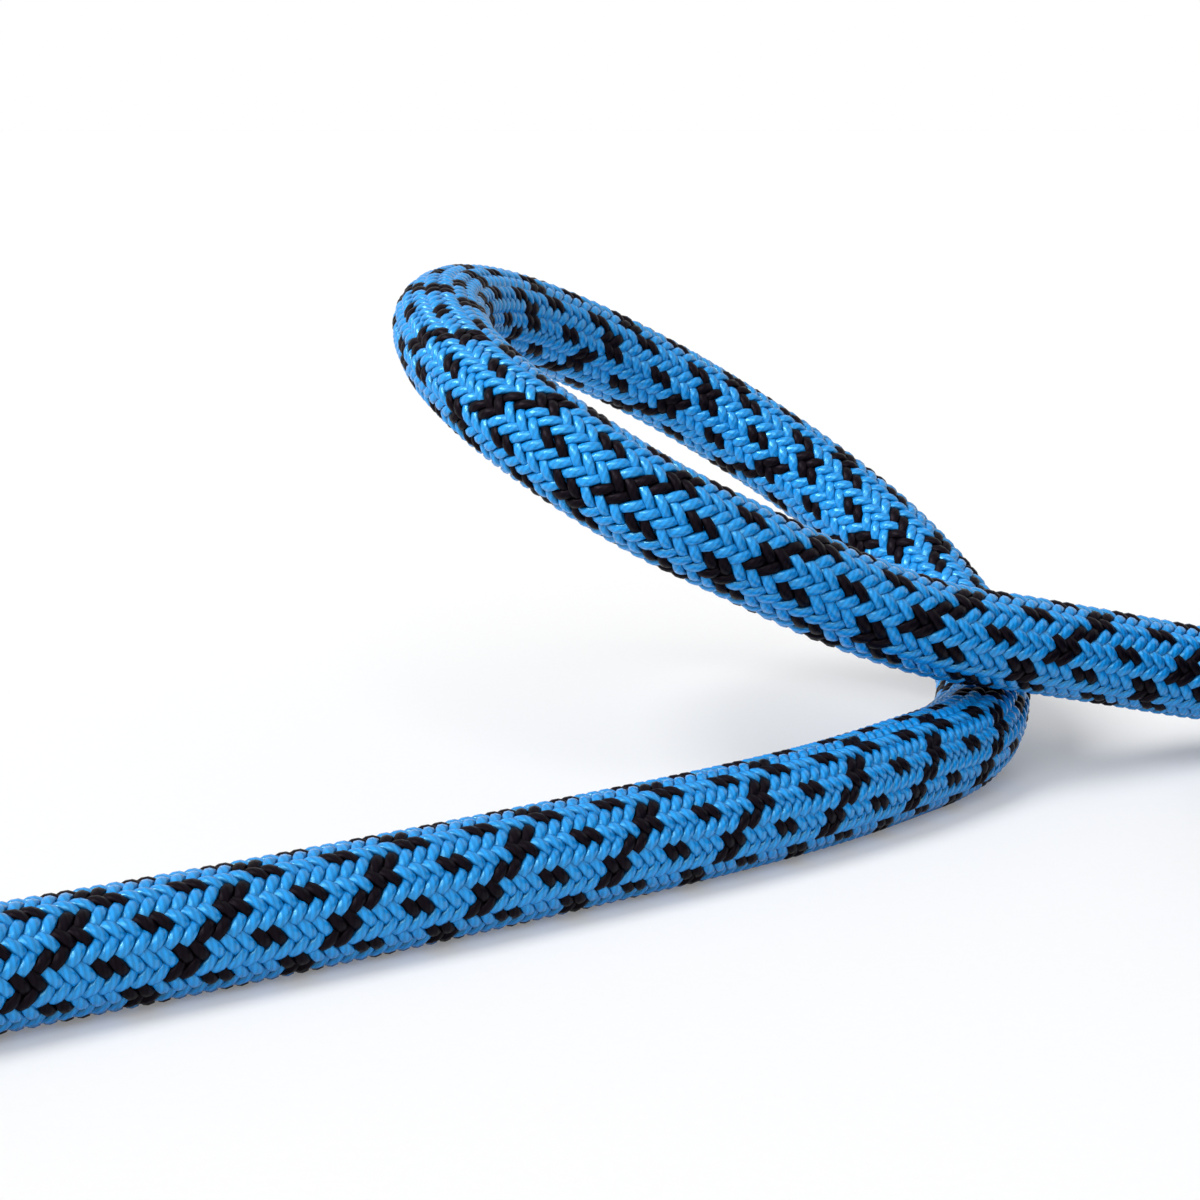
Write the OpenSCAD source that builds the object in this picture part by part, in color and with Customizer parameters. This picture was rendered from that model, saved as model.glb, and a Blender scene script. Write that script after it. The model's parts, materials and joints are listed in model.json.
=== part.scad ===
// Dynamic climbing rope: a braided sheath over a core of parallel strands.
// The photographed stretch lies on the floor and rises into one open loop.
// The rest of the rope is wound into a flat coil, held by three straps.
// Millimetres, +Z up, floor at z = 0, origin under the middle of the whole part.

/* [Rope] */
// Outside diameter of the rope
rope_d = 10.5; // [9.8:0.1:10.6]
// Whole length of the rope
rope_length = 5000; // [4000:50:6000]
// Thickness of the braided sheath
sheath_t = 0.9; // [0.7:0.05:1.1]

/* [Core] */
// Gap that each core strand keeps to its neighbours
core_gap = 0.1; // [0.06:0.01:0.15]
// Width of the marker tape laid in with the core
tape_w = 1.5; // [1:0.1:1.6]
// Thickness of the marker tape
tape_t = 0.12; // [0.08:0.01:0.15]

/* [Ends] */
// Length of the shrink sleeve on each end
sleeve_l = 26; // [18:1:32]
// Wall of the shrink sleeve
sleeve_t = 0.4; // [0.3:0.05:0.6]
// Gap between the sleeve and the rope
sleeve_gap = 0.1; // [0.05:0.05:0.2]
// Length of the melted plug that seals each end
seal_l = 1.8; // [1:0.1:3]

/* [Coil] */
// Diameter of the coil at the middle of its turns
coil_mid_d = 110; // [104:1:120]
// Gap between one turn of the coil and the next
turn_gap = 0.5; // [0.45:0.05:1]

/* [Straps] */
// Width of each strap
strap_w = 12; // [8:1:16]
// Thickness of the strap
strap_t = 1; // [0.8:0.1:1.5]
// Gap between a strap and the turns that it holds
strap_gap = 0.3; // [0.2:0.05:0.5]
// Height of the strap's end that lies double on the outside
strap_tail_l = 22; // [12:1:26]

/* [Hidden] */
$fn = 64;
tube_sides = 12;
strand_sides = 5;
coil_sides = 6;
seal_sides = 36;
// The round edge of a seal has this many steps
edge_steps = 4;
rings_per_span = 2;
rings_per_turn = 24;
layers = 4;
// The last layer stops this many turns early, so that the rope's end lies on the layer below
last_layer_short = 0.8;
// Share of a turn in which the rope climbs to the next layer
climb_turns = 0.5;
// The straps stand this many rings before the last ring of the turns
strap_rings = [4, 10, 18];
// Points nearer to each other than this are taken as one
same_point = 0.01;
// Each rounded corner of a strap's outline has this many sides
corner_steps = 6;
inner_strands = 3;
outer_strands = 9;

up = [0, 0, 1];
rope_r = rope_d / 2;
turn_step = rope_d + turn_gap;
sleeve_r = rope_r + sleeve_gap + sleeve_t;
// Height of the coil's lowest turns, which lie on the straps
coil_z = strap_t + strap_gap + rope_r;

// Route of the photographed stretch: floor strand, rising loop, front strand, way to the coil
route = [
    [-78, -93, 5.8], [-70, -87, 5.8], [-62, -81, 5.8], [-54, -75, 5.5], [-46, -68.5, 5.2],
    [-33, -58.5, 5], [-17.5, -46.5, 5], [0, -32, 5], [12, -21.5, 5], [22, -11.5, 5],
    [30.5, -1, 5], [37.5, 9.5, 5], [41.5, 20, 6.3], [42.5, 30.5, 9.8], [39.5, 40.5, 15],
    [33, 48.5, 21.5], [23.5, 54.5, 28.5], [12, 56.5, 35.8], [1.5, 53, 41.8], [-7.5, 45.5, 46.3],
    [-14, 35.5, 48.8], [-17, 24, 48.8], [-15.5, 12.5, 46.3], [-11, 3, 42.8], [-4, -3, 38.3],
    [5, -4.5, 32.8], [14.5, -1.5, 27.6], [25, 3.5, 22], [35, 8.5, 17.8], [45, 14.5, 15.1],
    [55, 20, 12.5], [66, 25, 9.8], [76, 28.8, 8.1], [86, 32.4, 7], [96, 36, coil_z],
    [106, 39.6, coil_z]
];

// Vector helpers
function unit(v) = v / norm(v);
function across(v, t) = unit(v - (v * t) * t);
function smooth(s) = let (c = max(0, min(1, s))) c * c * (3 - 2 * c);

// Catmull-Rom curve through the route's own points
function route_at(i) =
    i < 0 ? 2 * route[0] - route[1]
    : i >= len(route) ? 2 * route[len(route) - 1] - route[len(route) - 2]
    : route[i];
function curve(i, s) =
    let (a = route_at(i - 1), b = route_at(i), c = route_at(i + 1), d = route_at(i + 2))
    0.5 * (2 * b + (c - a) * s + (2 * a - 5 * b + 4 * c - d) * s * s
        + (3 * b - a - 3 * c + d) * s * s * s);
free_path = concat(
    [for (i = [0 : len(route) - 2], k = [0 : rings_per_span - 1]) curve(i, k / rings_per_span)],
    [route[len(route) - 1]]);

function sum(list) = list * [for (x = list) 1];
function path_length(p) = sum([for (i = [1 : len(p) - 1]) norm(p[i] - p[i - 1])]);
function tangents(p, first, last) =
    concat([first], [for (i = [1 : len(p) - 2]) unit(p[i + 1] - p[i - 1])], [last]);

// Frames carried along the free stretch without twist: the first one points up
lead = unit(route[len(route) - 1] - route[len(route) - 2]);
free_tangents = tangents(free_path, unit(route[1] - route[0]), lead);
free_ups = [
    for (i = 0, u = across(up, free_tangents[0]); i < len(free_path);
        i = i + 1, u = across(u, free_tangents[min(i, len(free_path) - 1)])) u
];

// Coil: the turns spiral in and out, one layer upon the other, wound clockwise seen from above
coil_start = route[len(route) - 1] + rope_d * lead;
coil_mid_r = coil_mid_d / 2;
tail_l = sleeve_l - seal_l + rope_d;
wound_length = rope_length - path_length(free_path) - rope_d - tail_l;
layer_turns =
    (wound_length / (2 * PI) + last_layer_short * coil_mid_r
        - last_layer_short * last_layer_short * turn_step / 2)
    / (layers * coil_mid_r - last_layer_short * turn_step / 2);
coil_turns = layers * layer_turns - last_layer_short;
coil_out_r = coil_mid_r + layer_turns * turn_step / 2;
coil_in_r = coil_out_r - layer_turns * turn_step;
spiral_slope = atan(turn_step / (2 * PI * coil_out_r));
coil_from = atan2(lead[1], lead[0]) + 90 + spiral_slope;
coil_center = coil_start - coil_out_r * [cos(coil_from), sin(coil_from), 0];

function turn_angle(t) = coil_from - 360 * t;
function turn_r(t) =
    let (k = floor(t / layer_turns), s = t - k * layer_turns)
    k % 2 == 0 ? coil_out_r - turn_step * s : coil_in_r + turn_step * s;
function climbs(t) = sum([for (m = [1 : layers - 1]) smooth((t - m * layer_turns) / climb_turns + 0.5)]);
// The rope's end lifts by the sleeve's wall in the last quarter turn
function end_lift(t) = (sleeve_r - rope_r) * smooth(4 * (t - coil_turns) + 1);
function turn_z(t) = coil_z + turn_step * climbs(t) + end_lift(t);
function turn_at(t) =
    let (a = turn_angle(t))
    [coil_center[0] + turn_r(t) * cos(a), coil_center[1] + turn_r(t) * sin(a), turn_z(t)];

last_ring = floor(coil_turns * rings_per_turn);
coil_end = turn_at(coil_turns);
tail_dir = let (d = coil_end - turn_at(coil_turns - 0.5 / rings_per_turn)) unit([d[0], d[1], 0]);
tail_end = coil_end + tail_l * tail_dir;
turns_path = [for (i = [0 : last_ring]) turn_at(i / rings_per_turn)];
coil_path = concat(
    [route[len(route) - 1]],
    turns_path,
    coil_turns * rings_per_turn - last_ring > 0.3 ? [coil_end] : [],
    [coil_end + rope_d * tail_dir, tail_end]);
coil_tangents = tangents(coil_path, lead, tail_dir);
coil_ups = [for (t = coil_tangents) across(up, t)];

// Least gap between turns of the coil, measured from ring to ring half a turn or more apart
coil_gap = min([
    for (i = [0 : last_ring - rings_per_turn / 2], j = [i + rings_per_turn / 2 : last_ring])
        norm(turns_path[i] - turns_path[j])
]) - rope_d;
echo("rope length", path_length(free_path) + path_length(coil_path));
echo("turns", coil_turns, "least gap", coil_gap);

// Cross-sections and tubes
function ring(p, t, u, r, sides) =
    let (v = cross(t, u))
    [for (k = [0 : sides - 1]) let (a = 360 * (k + 0.5) / sides) p + r * (cos(a) * u + sin(a) * v)];
function on_floor(p) = [p[0], p[1], max(0, p[2])];
function wall(first, sides, rings, out) = [
    for (i = [0 : rings - 2], k = [0 : sides - 1])
        let (
            a = first + i * sides + k,
            b = first + i * sides + (k + 1) % sides,
            quad = out ? [[a, b, b + sides], [a, b + sides, a + sides]]
                : [[a, b + sides, b], [a, a + sides, b + sides]])
            each quad
];
function lid(first, sides, out) =
    [for (k = [1 : sides - 2]) out ? [first, first + k, first + k + 1] : [first, first + k + 1, first + k]];
function rim(a, b, sides, out) = [
    for (k = [0 : sides - 1])
        let (n = (k + 1) % sides)
            each (out ? [[a + k, a + n, b + n], [a + k, b + n, b + k]]
                : [[a + k, b + n, a + n], [a + k, b + k, b + n]])
];

module tube(rings) {
    sides = len(rings[0]);
    count = len(rings);
    polyhedron(
        [for (r = rings) each r],
        concat(wall(0, sides, count, false), lid(0, sides, true),
            lid((count - 1) * sides, sides, false)));
}

module hollow_tube(outer, inner) {
    sides = len(outer[0]);
    count = len(outer);
    half = sides * count;
    polyhedron(
        concat([for (r = outer) each r], [for (r = inner) each r]),
        concat(wall(0, sides, count, false), wall(half, sides, count, true),
            rim(0, half, sides, true), rim(half - sides, 2 * half - sides, sides, false)));
}

free_outside = [
    for (i = [0 : len(free_path) - 1])
        [for (p = ring(free_path[i], free_tangents[i], free_ups[i], rope_r, tube_sides)) on_floor(p)]
];
coil_outside = [
    for (i = [0 : len(coil_path) - 1])
        ring(coil_path[i], coil_tangents[i], coil_ups[i], rope_r, coil_sides)
];

// Origin under the middle of the whole part
loose_dir = -free_tangents[0];
function sleeve_corners(place, outwards) =
    [for (s = [-sleeve_r, sleeve_r]) place + seal_l * outwards + s * cross(up, outwards)];
corners = concat(
    [for (r = free_outside) each r], [for (r = coil_outside) each r],
    sleeve_corners(route[0], loose_dir), sleeve_corners(tail_end, tail_dir));
function middle(axis) =
    let (c = [for (p = corners) p[axis]]) (min(c) + max(c)) / 2;
origin = [middle(0), middle(1), 0];

// Core: three strands in the middle and nine round them, inside the flats of the sheath's bore
bore_r = (rope_r - sheath_t) * cos(180 / tube_sides);
strand_r = (bore_r - 3 * core_gap) / (3 + 2 / sqrt(3));
inner_ring_r = (strand_r + core_gap / 2) * 2 / sqrt(3);
outer_ring_r = bore_r - core_gap - strand_r;
tape_r = bore_r - 2 * core_gap - tape_t / 2;

function strand_place(i) =
    i < inner_strands ? [inner_ring_r, 360 * i / inner_strands]
    : [outer_ring_r, 360 * (i - inner_strands + 0.5) / outer_strands];
function beside(i, r, a) =
    free_path[i] + r * (cos(a) * free_ups[i] + sin(a) * cross(free_tangents[i], free_ups[i]));

// Braided sheath of the photographed stretch
module sheath_loop() {
    color("dodgerblue")
        hollow_tube(
            free_outside,
            [for (i = [0 : len(free_path) - 1])
                ring(free_path[i], free_tangents[i], free_ups[i], rope_r - sheath_t, tube_sides)]);
}

// One strand of the core, inside the photographed stretch
module core_strand(i) {
    place = strand_place(i);
    color("white")
        tube([
            for (j = [0 : len(free_path) - 1])
                ring(beside(j, place[0], place[1]), free_tangents[j], free_ups[j], strand_r, strand_sides)
        ]);
}

// Thin tape between the core and the sheath, in the valley between two outer strands
module marker_tape() {
    color("gold")
        tube([
            for (j = [0 : len(free_path) - 1])
                let (c = beside(j, tape_r, 0), u = tape_t / 2 * free_ups[j],
                    v = tape_w / 2 * cross(free_tangents[j], free_ups[j]))
                    [c + u - v, c + u + v, c - u + v, c - u - v]
        ]);
}

// The length that is put away: one unbroken tube
module coiled_rope() {
    color("royalblue") tube(coil_outside);
}

// Puts what is drawn along +X from the rope's end face where that end is, pointing outwards
module at_end(place, outwards) {
    translate(place) rotate([0, 0, atan2(outwards[1], outwards[0])]) children();
}

// Shrink sleeve over the rope's end and its seal
module end_sleeve() {
    color("black")
        translate([seal_l - sleeve_l, 0, 0]) rotate([0, 90, 0])
            difference() {
                cylinder(h = sleeve_l, r = sleeve_r);
                translate([0, 0, -1]) cylinder(h = sleeve_l + 2, r = rope_r + sleeve_gap);
            }
}

// Melted plug with a round edge
module end_seal() {
    edge = seal_l / 2;
    color("midnightblue")
        tube(concat(
            [ring([0, 0, 0], [1, 0, 0], up, rope_r, seal_sides)],
            [for (k = [0 : edge_steps])
                let (a = 90 * k / edge_steps)
                    ring([seal_l - edge + edge * sin(a), 0, 0], [1, 0, 0], up,
                        rope_r - edge + edge * cos(a), seal_sides)]));
}

// Outline at a distance round convex corner points, with its corners rounded in steps
function heading(a, b) = atan2(b[1] - a[1], b[0] - a[0]);
function around(points, r) = [
    for (i = [0 : len(points) - 1])
        let (n = len(points), p = points[i],
            from = heading(points[(i + n - 1) % n], p) - 90,
            turn = (heading(p, points[(i + 1) % n]) - 90 - from + 720) % 360)
            for (k = [0 : corner_steps])
                let (a = from + turn * k / corner_steps) p + r * [cos(a), sin(a)]
];

// Corner points of the smallest convex outline round some points, counter-clockwise
function side_of(a, b, p) = (b[0] - a[0]) * (p[1] - a[1]) - (b[1] - a[1]) * (p[0] - a[0]);
function next_corner(a, points) =
    let (others = [for (p = points) if (norm(p - a) > same_point) p],
        edges = [for (b = others) if (min([for (p = others) side_of(a, b, p)]) > -same_point) b],
        far = max([for (b = edges) norm(b - a)]))
    [for (b = edges) if (norm(b - a) == far) b][0];
function corners_from(found, points) =
    let (n = next_corner(found[len(found) - 1], points))
    norm(n - found[0]) < same_point ? found : corners_from(concat(found, [n]), points);

// Where the rope, t turns into the coil, passes a strap's middle (side 0) or an edge (side -1 or 1)
function crossing(t, side) =
    let (step = 360 / rings_per_turn, next = t + side / rings_per_turn,
        share = strap_w / 2 / (turn_r(next) * sin(step)))
    [turn_r(t) + share * (turn_r(next) * cos(side * step) - turn_r(t)),
        turn_z(t) + share * (turn_z(next) - turn_z(t))];

// Strap round all turns at one ring of the coil, with its end lying double on the outside
module strap(rings_before_end) {
    ring_no = last_ring - rings_before_end;
    crossings = [
        for (i = [ring_no % rings_per_turn : rings_per_turn : last_ring], side = [-1, 0, 1])
            crossing(i / rings_per_turn, side)
    ];
    lowest_out = [max([for (c = crossings) if (c[1] < coil_z + same_point) c[0]]), coil_z];
    hold = corners_from([lowest_out], crossings);
    hold_r = rope_r + strap_gap;
    color("dimgray")
        translate([coil_center[0], coil_center[1], 0])
            rotate([90, 0, turn_angle(ring_no / rings_per_turn)])
                linear_extrude(strap_w, center = true)
                    difference() {
                        union() {
                            polygon(around(hold, hold_r + strap_t));
                            intersection() {
                                polygon(around(hold, hold_r + 2 * strap_t));
                                translate([coil_mid_r, coil_z]) square([coil_mid_r, strap_tail_l]);
                            }
                        }
                        polygon(around(hold, hold_r));
                    }
}

// Moves a piece from the route's own frame to the part's frame
module placed() {
    translate(-origin) children();
}

placed() sheath_loop();
for (i = [0 : inner_strands + outer_strands - 1])
    placed() core_strand(i);
placed() marker_tape();
placed() coiled_rope();
placed() at_end(route[0], loose_dir) end_sleeve();  // loose_end_sleeve
placed() at_end(route[0], loose_dir) end_seal();  // loose_end_seal
placed() at_end(tail_end, tail_dir) end_sleeve();  // coil_end_sleeve
placed() at_end(tail_end, tail_dir) end_seal();  // coil_end_seal
placed() strap(strap_rings[0]);  // first_strap
placed() strap(strap_rings[1]);  // second_strap
placed() strap(strap_rings[2]);  // third_strap
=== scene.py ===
"""Dynamic climbing rope: braided sheath, core strands, sealed ends and a strapped coil."""

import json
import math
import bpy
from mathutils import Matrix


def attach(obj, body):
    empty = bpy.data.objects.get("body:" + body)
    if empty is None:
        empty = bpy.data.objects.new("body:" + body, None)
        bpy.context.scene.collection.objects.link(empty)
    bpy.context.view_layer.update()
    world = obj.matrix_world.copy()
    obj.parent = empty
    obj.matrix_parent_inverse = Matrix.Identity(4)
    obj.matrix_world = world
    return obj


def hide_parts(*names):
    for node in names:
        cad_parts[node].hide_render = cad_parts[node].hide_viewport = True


bl_info = {
    "name": "Dynamic climbing rope",
    "version": (1, 0, 0),
    "blender": (4, 5, 0),
    "location": "View3D > Sidebar > Rope",
    "description": "Dresses the rope's solids with braid, core strands, end sleeves and straps",
    "category": "Add Mesh",
}

from types import SimpleNamespace

import bpy
import numpy as np
from bpy.props import FloatProperty, FloatVectorProperty, IntProperty, PointerProperty
from mathutils import Matrix, Vector

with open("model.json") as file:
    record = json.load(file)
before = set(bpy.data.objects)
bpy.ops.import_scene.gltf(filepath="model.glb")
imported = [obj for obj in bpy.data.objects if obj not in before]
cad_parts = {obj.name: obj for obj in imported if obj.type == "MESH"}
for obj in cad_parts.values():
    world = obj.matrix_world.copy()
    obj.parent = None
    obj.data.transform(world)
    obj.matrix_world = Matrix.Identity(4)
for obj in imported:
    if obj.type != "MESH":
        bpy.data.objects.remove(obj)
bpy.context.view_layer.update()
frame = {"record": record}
LOOSE_END = frame["record"]["mounts"][0]
MM = 0.001
UP = np.array([0.0, 0.0, 1.0])
WHITE = (1.0, 1.0, 1.0, 1.0)

# The photographed stretch, from the loose end to where it runs into the coil, in metres.
ROUTE = np.array([
    (-0.078, -0.093, 0.0058), (-0.070, -0.087, 0.0058), (-0.062, -0.081, 0.0058),
    (-0.054, -0.075, 0.0055), (-0.046, -0.0685, 0.0052), (-0.033, -0.0585, 0.005),
    (-0.0175, -0.0465, 0.005), (0.0, -0.032, 0.005), (0.012, -0.0215, 0.005),
    (0.022, -0.0115, 0.005), (0.0305, -0.001, 0.005), (0.0375, 0.0095, 0.005),
    (0.0415, 0.020, 0.0063), (0.0425, 0.0305, 0.0098), (0.0395, 0.0405, 0.015),
    (0.033, 0.0485, 0.0215), (0.0235, 0.0545, 0.0285), (0.012, 0.0565, 0.0358),
    (0.0015, 0.053, 0.0418), (-0.0075, 0.0455, 0.0463), (-0.014, 0.0355, 0.0488),
    (-0.017, 0.024, 0.0488), (-0.0155, 0.0125, 0.0463), (-0.011, 0.003, 0.0428),
    (-0.004, -0.003, 0.0383), (0.005, -0.0045, 0.0328), (0.0145, -0.0015, 0.0276),
    (0.025, 0.0035, 0.022), (0.035, 0.0085, 0.0178), (0.045, 0.0145, 0.0151),
    (0.055, 0.020, 0.0125), (0.066, 0.025, 0.0098), (0.076, 0.0288, 0.0081),
    (0.086, 0.0324, 0.007), (0.096, 0.036, 0.00655), (0.106, 0.0396, 0.00655),
])

# Length along the rope, the braid's stitch there, and the turn of the rope about its own line.
# The stitch opens where the rope is bent over itself.
BRAID = np.array([
    (0.000, 0.00148, -8), (0.090, 0.00148, -8), (0.110, 0.00141, -5), (0.140, 0.00134, 0),
    (0.165, 0.00162, 5), (0.200, 0.00164, 12), (0.215, 0.00162, 14), (0.255, 0.00162, 20),
    (0.270, 0.00138, 21), (0.290, 0.00134, 23), (0.305, 0.00127, 22), (0.320, 0.00142, 17),
    (0.330, 0.00160, 12), (0.340, 0.00200, 5), (0.368, 0.00186, 4), (0.380, 0.00168, 5),
    (0.440, 0.00155, 6), (6.000, 0.00155, 6),
])

# The yarns that are black, of those that run each way.
LEFT_BLACK = (0, 1, 10, 11)
RIGHT_BLACK = (0, 1, 5, 6, 10, 11, 15, 16)

# How much thicker a yarn is on top than on average.
YARN_SWELL = 0.33

# The pattern of a yarn starts this many millimetres after that of the yarn beside it.
YARN_OFFSET = 7.3

# Core strands in the middle and round them.
INNER_STRANDS = 3
OUTER_STRANDS = 9

# Piece, node and bearing of each strap, in degrees from where the coil begins.
STRAPS = (
    ("strap_a", "first_strap", -30),
    ("strap_b", "second_strap", 60),
    ("strap_c", "third_strap", 180),
)

# Steps across a strap, and the round of the tape's edges.
STRAP_STEPS = 6
TAPE_EDGE = 0.22 * MM

# Name of each lamp, where its light comes from, its spread in degrees and its strength.
LAMPS = (
    ("left", (-0.66, -0.40, 0.72), 26.0, 2.4),
    ("front", (-0.15, -0.75, 0.65), 40.0, 1.1),
)


def length_prop(name, text, default):
    return FloatProperty(name=name, description=text, default=default, unit="LENGTH", precision=5)


def colour_prop(name, text, default):
    return FloatVectorProperty(name=name, description=text, default=default, subtype="COLOR",
                               min=0.0, max=1.0)


class RopeSizes(bpy.types.PropertyGroup):
    """Sizes of the rope and of its braid."""

    rope_d: length_prop("Rope thickness", "Across the crowns of the sheath's yarns", 0.0105)
    rope_length: length_prop("Rope length", "From seal to seal", 5.0)
    yarns: IntProperty(name="Yarns each way", description="Half of the sheath's yarns", default=20)
    yarn_fill: FloatProperty(name="Yarn fill", description="Yarn's width, of the room it has",
                             default=1.14)
    yarn_h: length_prop("Yarn half thickness", "Half of a yarn's mean thickness", 0.0003)
    yarn_lift: length_prop("Yarn radius", "Mean distance of a yarn from the rope's line", 0.00455)
    yarn_wave: length_prop("Yarn wave", "How far a yarn rises and dives from its mean", 0.0003)
    braid_turn: FloatProperty(name="Braid turn", description="Turns the braid round the rope",
                              default=math.radians(45), subtype="ANGLE")
    braid_shift: FloatProperty(name="Braid shift", description="Stitches that the braid is shifted by",
                               default=1.36)
    # The lining stands for the sheath's underside, and its dark colour paints the shade between the yarns.
    lining_r: length_prop("Lining radius", "Dark tube under the yarns", 0.00435)
    coil_lining_r: length_prop("Coil lining radius", "Dark tube under the coil's yarns", 0.00455)
    strand_r: length_prop("Core strand radius", "Outside of one twisted strand", 0.00094)
    strand_twist: length_prop("Core strand twist", "Length in which a strand turns once", 0.014)
    core_gap: length_prop("Core gap", "Clear space between strands", 0.0001)
    bore_r: length_prop("Bore radius", "Inside of the sheath", 0.0042)
    tape_w: length_prop("Tape width", "Marker tape", 0.0015)
    tape_t: length_prop("Tape thickness", "Marker tape", 0.00012)


class CoilSizes(bpy.types.PropertyGroup):
    """Sizes of the coil and its straps."""

    middle_d: length_prop("Middle diameter", "Coil's diameter at the middle of its turns", 0.11)
    turn_gap: length_prop("Turn gap", "Clear space between turns", 0.0005)
    layers: IntProperty(name="Layers", description="Layers of turns", default=4)
    short_turns: FloatProperty(name="Short turns", description="Turns the top layer lacks", default=0.8)
    climb_turns: FloatProperty(name="Climb", description="Turns taken to climb a layer", default=0.5)
    start_z: length_prop("Start height", "Rope's middle in the lowest layer", 0.00655)
    strap_w: length_prop("Strap width", "Width of the webbing", 0.012)
    strap_t: length_prop("Strap thickness", "Thickness of the webbing", 0.001)
    strap_gap: length_prop("Strap gap", "Clear space between rope and strap", 0.0003)
    strap_tail_l: length_prop("Strap tail", "Length of the doubled end", 0.022)


class EndSizes(bpy.types.PropertyGroup):
    """Sizes of the sleeves and seals."""

    sleeve_l: length_prop("Sleeve length", "Shrink sleeve", 0.026)
    sleeve_r: length_prop("Sleeve radius", "Outside of the shrink sleeve", 0.00575)
    sleeve_t: length_prop("Sleeve wall", "Thickness of the shrink sleeve", 0.0004)
    seal_l: length_prop("Seal length", "Melted plug beyond the cut", 0.0018)


class RopeColours(bpy.types.PropertyGroup):
    """Colours of the rope's finishes."""

    blue: colour_prop("Blue yarn", "Main yarns of the sheath", (0.006, 0.262, 0.72))
    black: colour_prop("Black yarn", "Tracer yarns of the sheath", (0.0024, 0.0015, 0.003))
    # Painted shade: the lining's colour stands for the shade between the yarns.
    lining: colour_prop("Lining", "Shade between the yarns", (0.003, 0.016, 0.06))
    core: colour_prop("Core", "Undyed strands", (0.84, 0.83, 0.79))
    tape: colour_prop("Tape", "Marker tape", (0.78, 0.50, 0.03))
    sleeve: colour_prop("Sleeve", "Shrink sleeve", (0.018, 0.018, 0.02))
    strap: colour_prop("Strap", "Webbing", (0.022, 0.022, 0.024))
    thread: colour_prop("Thread", "Stitching of the straps", (0.30, 0.31, 0.33))


class StageSizes(bpy.types.PropertyGroup):
    """Camera, floor and light."""

    eye_back: length_prop("Camera distance", "In front of the route's zero point", 0.300)
    eye_z: length_prop("Camera height", "Above the floor", 0.0765)
    eye_tilt: FloatProperty(name="Camera tilt", description="Down from level",
                            default=math.radians(10.22), subtype="ANGLE")
    lens: FloatProperty(name="Lens", description="On a 36 mm sensor, in mm", default=90.0)
    floor_w: length_prop("Floor width", "Square floor", 6.0)
    floor_white: colour_prop("Floor", "Pale floor", (0.95, 0.95, 0.95))
    floor_glow: FloatProperty(name="Floor glow", description="Share of plain white where the floor is seen",
                              default=0.2)
    sky_level: FloatProperty(name="Sky level", description="Plain light on the object from all round",
                             default=0.31)


def rope_sizes():
    return bpy.context.scene.rope_sizes


def unit(vector):
    return vector / np.linalg.norm(vector, axis=-1, keepdims=True)


def smooth_step(x):
    x = np.clip(x, 0.0, 1.0)
    return x * x * (3.0 - 2.0 * x)


def route_shift():
    """The vector from the route's own zero to the part's, from the loose end's mount."""
    ends = bpy.context.scene.end_sizes
    outward = unit(ROUTE[0] - ROUTE[1])
    middle = ROUTE[0] + (ends.seal_l - ends.sleeve_l / 2) * outward
    return np.array(LOOSE_END["pos_m"]) - middle


def through_points(points, per_span):
    """A smooth curve through the points, with per_span steps from each to the next."""
    ends = np.vstack([2 * points[0] - points[1], points, 2 * points[-1] - points[-2]])
    t = (np.arange(per_span) / per_span)[:, None]
    spans = []
    for a, b, c, d in zip(ends, ends[1:], ends[2:], ends[3:]):
        spans.append(0.5 * (2 * b + (c - a) * t + (2 * a - 5 * b + 4 * c - d) * t**2
                            + (3 * b - a - 3 * c + d) * t**3))
    spans.append(points[-1:])
    return np.vstack(spans)


def length_of(points):
    return np.linalg.norm(np.diff(points, axis=0), axis=1).sum()


def coil_plan(route):
    """Where the coil lies, so that it takes up the length that the route leaves."""
    rope = rope_sizes()
    coil = bpy.context.scene.coil_sizes
    ends = bpy.context.scene.end_sizes
    plan = SimpleNamespace()
    plan.lead = unit(route[-1] - route[-2])
    plan.start = route[-1] + rope.rope_d * plan.lead
    plan.tail_l = ends.sleeve_l - ends.seal_l + rope.rope_d
    plan.step = rope.rope_d + coil.turn_gap
    wound = rope.rope_length - length_of(through_points(route, 2)) - rope.rope_d - plan.tail_l
    mid_r = coil.middle_d / 2
    short = coil.short_turns
    plan.layer_turns = ((wound / math.tau + short * mid_r - short**2 * plan.step / 2)
                        / (coil.layers * mid_r - short * plan.step / 2))
    plan.turns = coil.layers * plan.layer_turns - short
    plan.out_r = mid_r + plan.layer_turns * plan.step / 2
    plan.in_r = mid_r - plan.layer_turns * plan.step / 2
    plan.angle = (math.atan2(plan.lead[1], plan.lead[0]) + math.pi / 2
                  + math.atan(plan.step / (math.tau * plan.out_r)))
    plan.centre = plan.start - plan.out_r * np.array([math.cos(plan.angle), math.sin(plan.angle), 0])
    return plan


def coil_points(plan, t):
    """Points of the coil's line after t turns."""
    rope = rope_sizes()
    coil = bpy.context.scene.coil_sizes
    layer = np.floor(t / plan.layer_turns)
    into = t - layer * plan.layer_turns
    radius = np.where(layer % 2 == 0, plan.out_r - plan.step * into, plan.in_r + plan.step * into)
    height = coil.start_z + (bpy.context.scene.end_sizes.sleeve_r - rope.rope_d / 2) * smooth_step(
        4 * (t - plan.turns) + 1)
    for climb in range(1, coil.layers):
        height = height + plan.step * smooth_step((t - climb * plan.layer_turns) / coil.climb_turns + 0.5)
    angle = plan.angle - math.tau * t
    flat = np.stack([radius * np.cos(angle), radius * np.sin(angle)], axis=-1) + plan.centre[:2]
    return np.column_stack([flat, height])


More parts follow.
